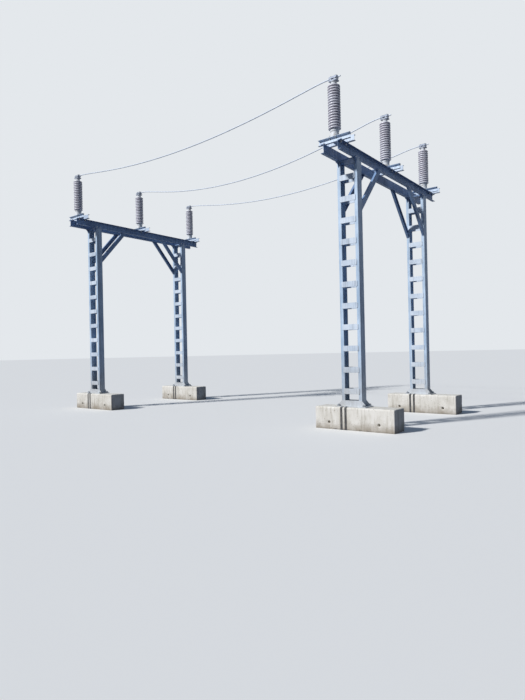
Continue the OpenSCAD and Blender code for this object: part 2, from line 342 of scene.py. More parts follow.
def rounded(profile: np.ndarray, rounds: int = 1) -> np.ndarray:
    """Cuts the corners of an open profile.

    Each stretch between two points gives way to its points at one quarter and at three
    quarters, and the two ends stay.

    Args:
        profile: rows of two coordinates.
        rounds: how many times the corners are cut.

    Returns:
        The rounder profile.
    """
    for _ in range(rounds):
        a, b = profile[:-1], profile[1:]
        cut = np.stack([0.75 * a + 0.25 * b, 0.25 * a + 0.75 * b], axis=1).reshape(-1, 2)
        profile = np.concatenate([profile[:1], cut[1:-1], profile[-1:]])
    return profile


def cloudy(points: np.ndarray, size: float, seed: int) -> np.ndarray:
    """Smooth noise from -1 to 1 at many points.

    Numbers that are mixed from a cubic lattice's own indices stand at its corners, and are
    blended along each axis by the curve 3 t squared minus 2 t cubed.

    Args:
        points: rows of three coordinates.
        size: spacing of the lattice.
        seed: picks another noise of the same kind.

    Returns:
        One number for each point.
    """
    cell = points / size
    base = np.floor(cell).astype(np.int64)
    part = cell - base
    part = part * part * (3 - 2 * part)
    total = np.zeros(len(points))
    for corner in np.ndindex(2, 2, 2):
        at = base + np.array(corner)
        mixed = at[:, 0] * 73856093 ^ at[:, 1] * 19349663 ^ at[:, 2] * 83492791 ^ seed * 40503
        mixed = (mixed ^ (mixed >> 13)) * 1274126177
        mixed = mixed ^ (mixed >> 16)
        value = (mixed & 0xFFFF) / 0x7FFF - 1
        total += value * np.prod(np.where(corner, part, 1 - part), axis=1)
    return total


def circle(radius: float, sides: int) -> np.ndarray:
    """Points of a circle about the origin, as rows of two coordinates."""
    turn = np.arange(sides) * 2 * np.pi / sides
    return np.stack([radius * np.cos(turn), radius * np.sin(turn)], axis=1)


# Finishes


def linear(code: str) -> tuple[float, float, float, float]:
    """Turns an sRGB colour into a linear one.

    Args:
        code: six hexadecimal digits.

    Returns:
        Red, green, blue and an alpha of 1.
    """
    parts = [int(code[i:i + 2], 16) / 255 for i in (0, 2, 4)]
    red, green, blue = [p / 12.92 if p <= 0.04045 else ((p + 0.055) / 1.055) ** 2.4 for p in parts]
    return red, green, blue, 1.0


def add(tree: NodeTree, kind: str, inputs: dict | None = None, **settings) -> Node:
    """Adds one node to a tree, with its settings and links.

    Args:
        tree: the node tree.
        kind: the node's type, without the words that every shader node's type starts with.
        inputs: for a socket's name or number, a value, another node's output socket, or
            another node, whose first output is then linked.
        settings: the node's own properties.

    Returns:
        The node.
    """
    node = tree.nodes.new("ShaderNode" + kind)
    for key, value in settings.items():
        setattr(node, key, value)
    for key, value in (inputs or {}).items():
        if isinstance(value, Node):
            value = value.outputs[0]
        if isinstance(value, NodeSocket):
            tree.links.new(value, node.inputs[key])
        else:
            node.inputs[key].default_value = value
    return node


@dataclass(frozen=True)
class Finish:
    """What every finish has. Each kind of finish adds a pattern of its own."""

    name: str
    colour: str
    roughness: float
    metallic: float = 0.0

    def material(self) -> Material:
        """Makes the finish's material, or gives the one that exists.

        The pattern gives its layers of colour, each a node for its share and a colour, and
        the nodes for the shader's other sockets. The layers lie over the finish's own
        colour, the last one on top.

        Returns:
            The material.
        """
        known = bpy.data.materials.get(self.name)
        if known:
            return known
        material = bpy.data.materials.new(self.name)
        material.use_nodes = True
        tree = material.node_tree
        tree.nodes.clear()
        shader = add(tree, "BsdfPrincipled", {
            "Base Color": linear(self.colour), "Roughness": self.roughness, "Metallic": self.metallic,
        })
        add(tree, "OutputMaterial", {"Surface": shader})
        layers, others = self.pattern(tree, add(tree, "TexCoord").outputs["Object"])
        colour = linear(self.colour)
        for share, code in layers:
            mixed = add(tree, "Mix", {0: share, 6: colour, 7: linear(code)}, data_type="RGBA")
            colour = mixed.outputs[2]
        tree.links.new(colour, shader.inputs["Base Color"])
        for socket, node in others.items():
            tree.links.new(node.outputs[0], shader.inputs[socket])
        return material

    def pattern(self, tree: NodeTree, place: NodeSocket) -> Pattern:
        """Adds the nodes of the finish's own pattern. Each kind of finish has its own method."""
        raise NotImplementedError(self.name)


@dataclass(frozen=True)
class AluminiumPaint(Finish):
    """Aluminium paint, brushed over hot-rolled steel and left out for years.

    It is a dull silver with broad lighter and darker clouds, thin dirty runs down the upright
    faces, a few rust specks, dust near the ground, and the faint grain of scale under the
    paint, drawn coarser than it is so that it shows. Its bluish tint is painted sky light: a
    painted reflection of a blue sky. The rolled edges are slightly round, and the paint has
    gone from them in places.
    """

    cloud_colour: str = "9FB7D0"
    run_colour: str = "5E6670"
    rust_colour: str = "6E4630"
    dust_colour: str = "A79F92"
    cloud_mm: float = 420.0
    run_mm: float = 26.0
    rust_mm: float = 38.0
    grain_mm: float = 7.0
    edge_mm: float = 3.5
    rust_from: float = 0.69
    dust_top: float = 1.5

    def pattern(self, tree: NodeTree, place: NodeSocket) -> Pattern:
        """Adds clouds, runs, rust specks, worn edges, dust and grain.

        The edges are where the normal of the rounded shape leaves that of the flat face.

        Args:
            tree: the material's node tree.
            place: the object's own coordinates, in metres.

        Returns:
            The layers of colour, and the nodes for the roughness and the normal.
        """
        cloud = add(tree, "TexNoise", {"Vector": place, "Scale": 1000 / self.cloud_mm, "Detail": 5.0,
                                       "Roughness": 0.6})
        clouded = add(tree, "MapRange", {"Value": cloud, "From Min": 0.38, "From Max": 0.64})
        tall = add(tree, "Mapping", {"Vector": place, "Scale": (1.0, 1.0, 0.035)})
        runs = add(tree, "TexNoise", {"Vector": tall, "Scale": 1000 / self.run_mm, "Detail": 3.0})
        dirty = add(tree, "MapRange", {"Value": runs, "From Min": 0.52, "From Max": 0.78, "To Max": 0.55})
        specks = add(tree, "TexNoise", {"Vector": place, "Scale": 1000 / self.rust_mm, "Detail": 7.0,
                                        "Roughness": 0.7})
        rusty = add(tree, "MapRange", {"Value": specks, "From Min": self.rust_from,
                                       "From Max": self.rust_from + 0.05, "To Max": 0.85})
        soft = add(tree, "Bevel", {"Radius": self.edge_mm / 1000}, samples=6)
        turned = add(tree, "VectorMath", {0: soft, 1: add(tree, "NewGeometry").outputs["Normal"]},
                     operation="DOT_PRODUCT").outputs["Value"]
        edge = add(tree, "MapRange", {"Value": turned, "From Min": 0.99, "From Max": 0.9})
        thin = add(tree, "MapRange", {"Value": specks, "From Min": 0.48, "From Max": 0.58, "To Max": 0.7})
        worn = add(tree, "Math", {0: edge, 1: thin}, operation="MULTIPLY")
        height = add(tree, "SeparateXYZ", {0: place}).outputs["Z"]
        low = add(tree, "MapRange", {"Value": height, "From Min": self.dust_top, "From Max": 0.4})
        dusty = add(tree, "Math", {0: low, 1: cloud}, operation="MULTIPLY")
        rough = add(tree, "MapRange", {"Value": runs, "From Min": 0.3, "From Max": 0.75,
                                       "To Min": self.roughness - 0.08, "To Max": self.roughness + 0.16})
        grain = add(tree, "TexNoise", {"Vector": place, "Scale": 1000 / self.grain_mm, "Detail": 3.0})
        bump = add(tree, "Bump", {"Strength": 0.5, "Distance": 0.0012, "Height": grain, "Normal": soft})
        layers = [(clouded, self.cloud_colour), (dirty, self.run_colour), (rusty, self.rust_colour),
                  (worn, self.rust_colour), (dusty, self.dust_colour)]
        return layers, {"Roughness": rough, "Normal": bump}


@dataclass(frozen=True)
class Concrete(Finish):
    """Portland cement concrete, cast in a steel mould and weathered.

    It is a warm pale grey with cement-rich clouds, pale and dirty runs down the sides, air
    holes of a few millimetres in patches, darkened as painted shade, and earth thrown up along
    the ground. Its grit is drawn coarser than it is so that it shows.
    """

    cloud_colour: str = "D0CBC0"
    run_colour: str = "99917F"
    bloom_colour: str = "F0EDE7"
    earth_colour: str = "8B7E6C"
    cloud_mm: float = 260.0
    run_mm: float = 45.0
    hole_mm: float = 22.0
    patch_mm: float = 60.0
    grit_mm: float = 5.0

    def pattern(self, tree: NodeTree, place: NodeSocket) -> Pattern:
        """Adds clouds, runs, lime bloom, earth, air holes and grit.

        Args:
            tree: the material's node tree.
            place: the object's own coordinates, in metres.

        Returns:
            The layers of colour, and the node for the normal.
        """
        cloud = add(tree, "TexNoise", {"Vector": place, "Scale": 1000 / self.cloud_mm, "Detail": 8.0,
                                       "Roughness": 0.65})
        clouded = add(tree, "MapRange", {"Value": cloud, "From Min": 0.36, "From Max": 0.66})
        tall = add(tree, "Mapping", {"Vector": place, "Scale": (1.0, 1.0, 0.12)})
        runs = add(tree, "TexNoise", {"Vector": tall, "Scale": 1000 / self.run_mm, "Detail": 5.0,
                                      "Roughness": 0.6})
        dark = add(tree, "MapRange", {"Value": runs, "From Min": 0.54, "From Max": 0.72, "To Max": 0.6})
        pale = add(tree, "MapRange", {"Value": runs, "From Min": 0.44, "From Max": 0.3, "To Max": 0.6})
        height = add(tree, "SeparateXYZ", {0: place}).outputs["Z"]
        splash = add(tree, "Math", {0: cloud, 1: -0.3, 2: height}, operation="MULTIPLY_ADD")
        low = add(tree, "MapRange", {"Value": splash, "From Min": 0.02, "From Max": -0.16, "To Max": 0.75})
        holes = add(tree, "TexVoronoi", {"Vector": place, "Scale": 1000 / self.hole_mm})
        patch = add(tree, "TexNoise", {"Vector": place, "Scale": 1000 / self.patch_mm})
        reach = add(tree, "MapRange", {"Value": patch, "From Min": 0.4, "From Max": 0.75,
                                       "To Min": 0.02, "To Max": 0.3})
        hole = add(tree, "Math", {0: holes, 1: reach}, operation="LESS_THAN")
        grit = add(tree, "TexNoise", {"Vector": place, "Scale": 1000 / self.grit_mm, "Detail": 4.0})
        height = add(tree, "Math", {0: hole, 1: -1.4, 2: grit}, operation="MULTIPLY_ADD")
        bump = add(tree, "Bump", {"Strength": 0.7, "Distance": 0.002, "Height": height})
        # The air holes take the runs' dark colour as painted shade inside them.
        layers = [(clouded, self.cloud_colour), (dark, self.run_colour), (pale, self.bloom_colour),
                  (low, self.earth_colour), (hole, self.run_colour)]
        return layers, {"Normal": bump}


@dataclass(frozen=True)
class Porcelain(Finish):
    """Electrical porcelain, turned, dipped in a pale grey glaze and fired.

    The glaze is glossy where it is clean. Dust lies on the upper faces of the sheds and
    makes them paler and dull.
    """

    cloud_colour: str = "CBC8D2"
    dust_colour: str = "DFDEE2"
    cloud_mm: float = 160.0
    dust_mm: float = 60.0
    dust_share: float = 0.85
    dust_roughness: float = 0.62

    def pattern(self, tree: NodeTree, place: NodeSocket) -> Pattern:
        """Adds the glaze's clouds and the dust on the faces that look up.

        Args:
            tree: the material's node tree.
            place: the object's own coordinates, in metres.

        Returns:
            The layers of colour, and the node for the roughness.
        """
        cloud = add(tree, "TexNoise", {"Vector": place, "Scale": 1000 / self.cloud_mm, "Detail": 3.0})
        clouded = add(tree, "MapRange", {"Value": cloud, "From Min": 0.35, "From Max": 0.65})
        normal = add(tree, "NewGeometry").outputs["Normal"]
        upward = add(tree, "SeparateXYZ", {0: normal}).outputs["Z"]
        patches = add(tree, "TexNoise", {"Vector": place, "Scale": 1000 / self.dust_mm, "Detail": 4.0})
        fall = add(tree, "MapRange", {"Value": upward, "From Min": 0.1, "From Max": 0.9, "To Min": 0.15})
        fallen = add(tree, "Math", {0: fall, 1: patches}, operation="MULTIPLY")
        dusty = add(tree, "MapRange", {"Value": fallen, "From Min": 0.1, "From Max": 0.55,
                                       "To Max": self.dust_share})
        rough = add(tree, "MapRange", {"Value": dusty, "From Max": self.dust_share,
                                       "To Min": self.roughness, "To Max": self.dust_roughness})
        return [(clouded, self.cloud_colour), (dusty, self.dust_colour)], {"Roughness": rough}


@dataclass(frozen=True)
class CastMetal(Finish):
    """Painted cast iron, cast or drawn aluminium, zinc on bolts, or bitumen on flat bar.

    A mould's sand or a thick coat leaves a fine orange-peel skin, drawn coarser than it is
    so that it shows. Dirt sits in broad patches, and small spots of rust or soot lie on it.
    """

    patch_colour: str = "A8A39A"
    seep_colour: str = "8A5A3C"
    patch_mm: float = 55.0
    skin_mm: float = 4.0
    seep_from: float = 0.66

    def pattern(self, tree: NodeTree, place: NodeSocket) -> Pattern:
        """Adds the patches, the seeping spots and the cast skin.

        Args:
            tree: the material's node tree.
            place: the object's own coordinates, in metres.

        Returns:
            The layers of colour, and the node for the normal.
        """
        patch = add(tree, "TexNoise", {"Vector": place, "Scale": 1000 / self.patch_mm, "Detail": 5.0})
        patched = add(tree, "MapRange", {"Value": patch, "From Min": 0.45, "From Max": 0.7, "To Max": 0.8})
        tall = add(tree, "Mapping", {"Vector": place, "Scale": (1.0, 1.0, 0.4), "Location": (3.0, 1.0, 2.0)})
        seep = add(tree, "TexNoise", {"Vector": tall, "Scale": 1300 / self.patch_mm, "Detail": 6.0,
                                      "Roughness": 0.65})
        rusty = add(tree, "MapRange", {"Value": seep, "From Min": self.seep_from,
                                       "From Max": self.seep_from + 0.08, "To Max": 0.8})
        skin = add(tree, "TexNoise", {"Vector": place, "Scale": 1000 / self.skin_mm, "Detail": 2.0})
        bump = add(tree, "Bump", {"Strength": 0.5, "Distance": 0.0008, "Height": skin})
        return [(patched, self.patch_colour), (rusty, self.seep_colour)], {"Normal": bump}


# The bluish tint of these four paints and their clouds is painted sky light, a painted reflection of a blue
# sky.
LEG_PAINT = AluminiumPaint("aluminium_paint_on_legs", "BFD4EA", 0.5)
BATTEN_PAINT = AluminiumPaint("aluminium_paint_on_battens", "D4DFEC", 0.5, cloud_colour="B8C6D6",
                              dust_colour="B5AEA2")
# The beams, corner gussets and braces take a darker paint than the legs. That darkness is painted shade, for
# the shade on their webs, which face away from the key lamp and lie under the flanges. Their dirty runs and
# rust specks are real weathering.
BEAM_PAINT_AND_SHADE = AluminiumPaint("aged_aluminium_paint_on_beams", "83A1C8", 0.54, cloud_colour="5F7CA4",
                            run_colour="46505E", rust_from=0.66)
BEARER_PAINT = AluminiumPaint("aluminium_paint_on_bearers", "CFDDED", 0.5, cloud_colour="B3C4D9")
CONCRETE = Concrete("mould_cast_concrete", "E8E4DC", 0.92)
PORCELAIN = Porcelain("glazed_electrical_porcelain", "DCDDE6", 0.32)
CAST_IRON = CastMetal("light_paint_on_cast_iron", "D6DADF", 0.55)
CAST_ALUMINIUM = CastMetal("cast_aluminium", "8D95A5", 0.6, 0.4, patch_colour="747C8C",
                           seep_colour="6C6D74", skin_mm=3.0)
DRAWN_ALUMINIUM = CastMetal("drawn_aluminium_strand", "CAD2DE", 0.55, 0.2, patch_colour="BCC5D2",
                            seep_colour="AAB3C2", patch_mm=140.0, skin_mm=8.0)
ZINC = CastMetal("hot_dipped_zinc", "A5AAB0", 0.5, 0.6, patch_colour="83888E", seep_colour="7C5A42",
                 patch_mm=18.0, skin_mm=2.0)
BITUMEN = CastMetal("bitumen_paint_on_flat_bar", "3B3B3C", 0.5, patch_colour="64625F",
                    seep_colour="6A4A36", patch_mm=60.0, seep_from=0.62)


# Sub-assemblies


@dataclass
class Studio:
    """The camera, the lamps, the world and the pale floor."""

    eye: Triple = (-10.026, -8.414, 1.414)
    yaw: float = -51.752
    pitch: float = 0.19
    roll: float = -1.222
    focus_px: float = 534.71
    frame_px: float = 700.0
    sensor_mm: float = 36.0
    sun_from: Triple = (-0.73, 0.37, 0.57)
    sun_strength: float = 3.7
    sun_angle: float = 5.0
    fill: float = 0.24
    fill_colour: str = "AECAF2"
    backdrop: str = "E4E8EC"
    floor_colour: str = "EFEEEB"
    ground_colour: str = "5E5E64"
    floor_radius: float = 260.0

    def build(self) -> None:
        """Makes all of the studio."""
        self.camera()
        self.lamps()
        self.floor()
        LOG.info("studio is ready")

    def camera(self) -> None:
        """Puts the camera where the photograph was taken from."""
        yaw, tilt, roll = (math.radians(a) for a in (self.yaw, 90 + self.pitch, self.roll))
        data = bpy.data.cameras.new("camera")
        data.sensor_width = self.sensor_mm
        data.lens = self.focus_px / self.frame_px * self.sensor_mm
        data.clip_end = 2 * self.floor_radius
        camera = shown("camera", data)
        camera.matrix_world = (Matrix.Translation(self.eye) @ Matrix.Rotation(yaw, 4, "Z")
                               @ Matrix.Rotation(tilt, 4, "X") @ Matrix.Rotation(roll, 4, "Z"))
        bpy.context.scene.camera = camera

    def lamps(self) -> None:
        """Adds the sun-like key lamp and the world's even fill, with a pale backdrop."""
        data = bpy.data.lights.new("key", "SUN")
        data.energy = self.sun_strength
        data.angle = math.radians(self.sun_angle)
        shown("key", data).rotation_euler = Vector(self.sun_from).to_track_quat("Z", "Y").to_euler()
        world = bpy.data.worlds.new("studio")
        bpy.context.scene.world = world
        world.use_nodes = True
        tree = world.node_tree
        tree.nodes.clear()
        fill = add(tree, "Background", {"Color": linear(self.fill_colour), "Strength": self.fill})
        pale = add(tree, "Background", {"Color": linear(self.backdrop), "Strength": 1.0})
        add(tree, "OutputWorld", {"Surface": add(tree, "MixShader", {0: self.seen(tree), 1: fill, 2: pale})})
        bpy.context.scene.view_settings.view_transform = "Standard"

    def seen(self, tree: NodeTree) -> NodeSocket:
        """Adds the nodes that tell the rays that show a backdrop from those that only light.

        Args:
            tree: the node tree of the world or of the floor.

        Returns:
            A socket that is 1 for camera, glossy and transmission rays, and 0 for the others.
        """
        ray = add(tree, "LightPath")
        seen = ray.outputs["Is Camera Ray"]
        for kind in ("Is Glossy Ray", "Is Transmission Ray"):
            seen = add(tree, "Math", {0: seen, 1: ray.outputs[kind]}, operation="MAXIMUM").outputs[0]
        return seen

    def floor(self) -> None:
        """Lays a round floor at the sleepers' foot: pale to the eye, and lighting like gravel.

        A point of the floor at radius r and angle t is (r cos t, r sin t, 0).
        """
        material = bpy.data.materials.new("studio_floor")
        material.use_nodes = True
        tree = material.node_tree
        tree.nodes.clear()
        colour = add(tree, "Mix", {0: self.seen(tree), 6: linear(self.ground_colour),
                                   7: linear(self.floor_colour)}, data_type="RGBA")
        add(tree, "OutputMaterial", {"Surface": add(tree, "BsdfDiffuse", {"Color": colour.outputs[2]})})
        ring = circle(self.floor_radius, 96)
        mesh = bpy.data.meshes.new("floor")
        mesh.from_pydata(np.column_stack([ring, np.zeros(len(ring))]), [], [np.arange(len(ring))])
        mesh.materials.append(material)
        floor = shown("floor", mesh)


@dataclass
class Conductors:
    """The three stranded conductors that hang from clamp to clamp."""

    bay: Bay
    strands: int = 14
    lay_length: float = 0.3
    stations: int = 420
    points_per_strand: int = 4
    groove: float = 0.08

    def route(self, phase: float, sag: float) -> np.ndarray:
        """The middle line of a conductor.

        The distances to the two clamps, each eased so that it starts off level, are
        multiplied, and the product is scaled so that it comes to the sag at the middle.

        Args:
            phase: its X.
            sag: its drop at the middle.

        Returns:
            Rows of three coordinates.
        """
        bay = self.bay
        span, ease = bay.span - bay.clamp_len, bay.wire_ease
        tail = bay.clamp_len + bay.wire_tail
        y = np.linspace(-tail, span + tail, self.stations)
        near, far, half = (np.sqrt(np.square(v) + ease * ease) - ease for v in (y, span - y, span / 2))
        drop = np.where((y > 0) & (y < span), -sag * near * far / half ** 2, 0.0)
        return np.column_stack([np.full(len(y), phase), bay.forward + y - span / 2, bay.wire_z + drop])

    def strand(self, name: str, path: np.ndarray) -> Object:
        """Makes one stranded conductor.

        Round the middle line, the radius swells and falls once for each strand, by the
        absolute sine of half the strand's angle, and the whole section turns once in each
        lay length.

        Args:
            name: the piece's name.
            path: the middle line.

        Returns:
            The piece.
        """
        sides = self.strands * self.points_per_strand
        around = np.arange(sides) * 2 * np.pi / sides
        swell = np.abs(np.sin(around * self.strands / 2))
        radius = self.bay.wire_d / 2 * (1 - self.groove + self.groove * swell)
        steps = np.linalg.norm(np.diff(path, axis=0), axis=1)
        along = np.concatenate([[0.0], np.cumsum(steps)])
        turn = around[None] + along[:, None] / self.lay_length * 2 * np.pi
        section = np.stack([radius * np.cos(turn), radius * np.sin(turn)], axis=-1)
        surface = Surface.swept(section, path, (1.0, 0.0, 0.0))
        return surface.piece(name, DRAWN_ALUMINIUM.material(), "conductor_wire", crease=80.0)

    def build(self) -> None:
        for number, (phase, sag) in enumerate(zip(self.bay.phases(), self.bay.sags), 1):
            path = self.route(phase, sag)
            piece = self.strand(f"strand_{number}", path)
            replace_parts(piece, f"conductor_{number}")


@dataclass
class Sleepers:
    """The four concrete sleepers, with worn edges and an uneven cast face."""

    bay: Bay
    voxel: float = 0.013
    merged: float = 0.0001
    crease: float = 50.0
    chip_size: float = 0.07
    chip_grain: float = 0.03
    chip_from: float = 0.25
    chip_depth: float = 0.016
    chip_reach: float = 0.05
    wave_size: float = 0.25
    wave_grain: float = 0.05
    wave_depth: float = 0.0022
    pull_reach: float = 0.2

    def build(self) -> None:
        """Replaces each CAD sleeper by a weathered one."""
        for portal in Portal:
            for side in Side:
                self.weathered(f"{portal.value}_{side.name.lower()}_sleeper")

    def weathered(self, node: str) -> None:
        """Makes one weathered sleeper from a merged copy of its CAD node.

        The copy is remeshed evenly. Then every point goes inward, towards the sleeper's long
        middle line, by a shallow wave, and near an edge also by a chip: how far smooth noise
        is over its threshold, times how near the edge is.

        Args:
            node: the CAD node's name.
        """
        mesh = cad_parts[node].data.copy()
        thing = shown(node + "_cast", mesh)
        weld = thing.modifiers.new("weld", "WELD")
        weld.merge_threshold = self.merged
        remesh = thing.modifiers.new("remesh", "REMESH")
        remesh.mode = "VOXEL"
        remesh.voxel_size = self.voxel
        graph = bpy.context.evaluated_depsgraph_get()
        fine = bpy.data.meshes.new_from_object(thing.evaluated_get(graph))
        thing.modifiers.clear()
        thing.data = fine
        low, high = (np.array(corner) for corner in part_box(node))
        points = np.empty(len(fine.vertices) * 3)
        fine.vertices.foreach_get("co", points)
        points = points.reshape(-1, 3)
        near = np.sort(np.minimum(points - low, high - points), axis=1)
        edge = np.clip(1 - near[:, 1] / self.chip_reach, 0, 1) * (near[:, 0] < self.voxel)
        chip = cloudy(points, self.chip_size, 3) + 0.6 * cloudy(points, self.chip_grain, 5)
        wave = 0.6 + cloudy(points, self.wave_size, 7) + 0.5 * cloudy(points, self.wave_grain, 9)
        depth = self.chip_depth * np.clip(chip - self.chip_from, 0, 1) * edge ** 2
        depth += self.wave_depth * wave / 2
        inward = (low + high) / 2 - points
        inward[:, 1] = np.clip(inward[:, 1], -self.pull_reach, self.pull_reach)
        inward /= np.linalg.norm(inward, axis=1, keepdims=True)
        points += inward * np.clip(depth, 0, None)[:, None]
        points[:, 2] = np.maximum(points[:, 2], low[2])
        fine.vertices.foreach_set("co", points.reshape(-1))
        fine.update()
        fine.shade_smooth()
        fine.set_sharp_from_angle(angle=math.radians(self.crease))
        fine.materials.clear()
        fine.materials.append(CONCRETE.material())
        bpy.data.meshes.remove(mesh)
        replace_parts(settle(thing), node)


@dataclass
class PortalWork:
    """What is built on one portal. The names of its nodes and pieces start with the portal's."""

    bay: Bay
    portal: Portal

    @property
    def y(self) -> float:
        """Place of the portal's steelwork along the bay. Its sleepers lie a little further forward."""
        return self.bay.forward + self.bay.span / 2 * (-1 if self.portal is Portal.NEAR else 1)


@dataclass
class PostInsulators(PortalWork):
    """The porcelain posts of one portal, with their bell-shaped bases and their caps."""

    porcelain_segments: int = 56
    casting_segments: int = 64
    foot_inset: float = 0.004
    foot_depth: float = 0.03
    head_r: float = 0.042
    head_h: float = 0.016

    def shed_profile(self) -> np.ndarray:
        """Profile of one porcelain: its sheds one above the other, with rounded lips.

        Each shed's points are shares of the way from the core to the lip and up the pitch,
        whose corners are then cut once.

        Returns:
            Rows of radius and height above the lowest shed.
        """
        bay = self.bay
        shares = np.array([
            [0.0, 0.0], [0.04, 0.06], [0.16, 0.14], [0.78, 0.2], [0.92, 0.12], [1.02, 0.15],
            [1.05, 0.26], [1.03, 0.43], [0.95, 0.57], [0.76, 0.68], [0.4, 0.77], [0.12, 0.86], [0.0, 0.94],
        ])
        core, reach = bay.core_d / 2, (bay.shed_d - bay.core_d) / 2
        count = np.arange(bay.shed_count)[:, None]
        radius = core + reach * np.broadcast_to(shares[:, 0], (bay.shed_count, len(shares)))
        height = (count + shares[:, 1]) * bay.shed_pitch
        stack = rounded(np.stack([radius.ravel(), height.ravel()], axis=1))
        foot, top = core - self.foot_inset, bay.shed_count * bay.shed_pitch
        return np.concatenate([[[foot, -self.foot_depth], [foot, 0.0]], stack,
                               [[self.head_r, top], [self.head_r, top + self.head_h]]])

    def bell_profile(self) -> np.ndarray:
        """Profile of the bell-shaped base, from its foot up to the cemented joint.

        Returns:
            Rows of radius and height above the bearers.
        """
        swing = np.radians(np.linspace(0, 90, 10))
        flare = np.stack([0.071 + 0.025 * (1 - np.sin(swing)), 0.018 + 0.085 * (1 - np.cos(swing))], axis=1)
        return np.concatenate([
            [[0.098, 0.0], [0.0998, 0.002], [0.0998, 0.013], [0.098, 0.0165]], flare,
            [[0.0755, 0.1075], [0.078, 0.111], [0.078, 0.145], [0.0765, 0.149], [0.0735, 0.15],
             [0.067, 0.15], [0.0655, 0.1535], [0.0605, 0.1535]],
        ])

    def cap_profile(self) -> np.ndarray:
        """Profile of the cap, from its skirt up to the pad of the clamp.

        Returns:
            Rows of radius and height above the highest shed.
        """
        return np.array([
            [0.052, 0.001], [0.055, 0.002], [0.056, 0.005], [0.056, 0.021], [0.055, 0.024],
            [0.046, 0.0305], [0.044, 0.033], [0.044, 0.043], [0.046, 0.0465], [0.0545, 0.0498],
            [0.056, 0.052], [0.056, 0.058], [0.0545, 0.06],
        ])

    def build(self) -> None:
        """Makes the portal's three posts and their fittings."""
        bay, y = self.bay, self.y
        sheds = Surface.lathe(self.shed_profile(), self.porcelain_segments)
        for number, x in enumerate(bay.phases(), 1):
            node = f"{self.portal.value}_insulator_{number}"
            piece = sheds.stamped([[x, y, bay.porcelain_z]]).piece(
                node + "_porcelain", PORCELAIN.material(), "porcelain", crease=70.0)
            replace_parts(piece, node)
        castings = Surface.joined([
            Surface.lathe(profile, self.casting_segments).stamped([[x, y, z] for x in bay.phases()])
            for profile, z in ((self.bell_profile(), bay.insulator_z), (self.cap_profile(), bay.cap_z))
        ])
        name = f"{self.portal.value}_bells_and_caps"
        piece = castings.piece(name, CAST_IRON.material(), "cast_fittings", crease=35.0)
        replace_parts(piece, f"{self.portal.value}_insulator_fittings")


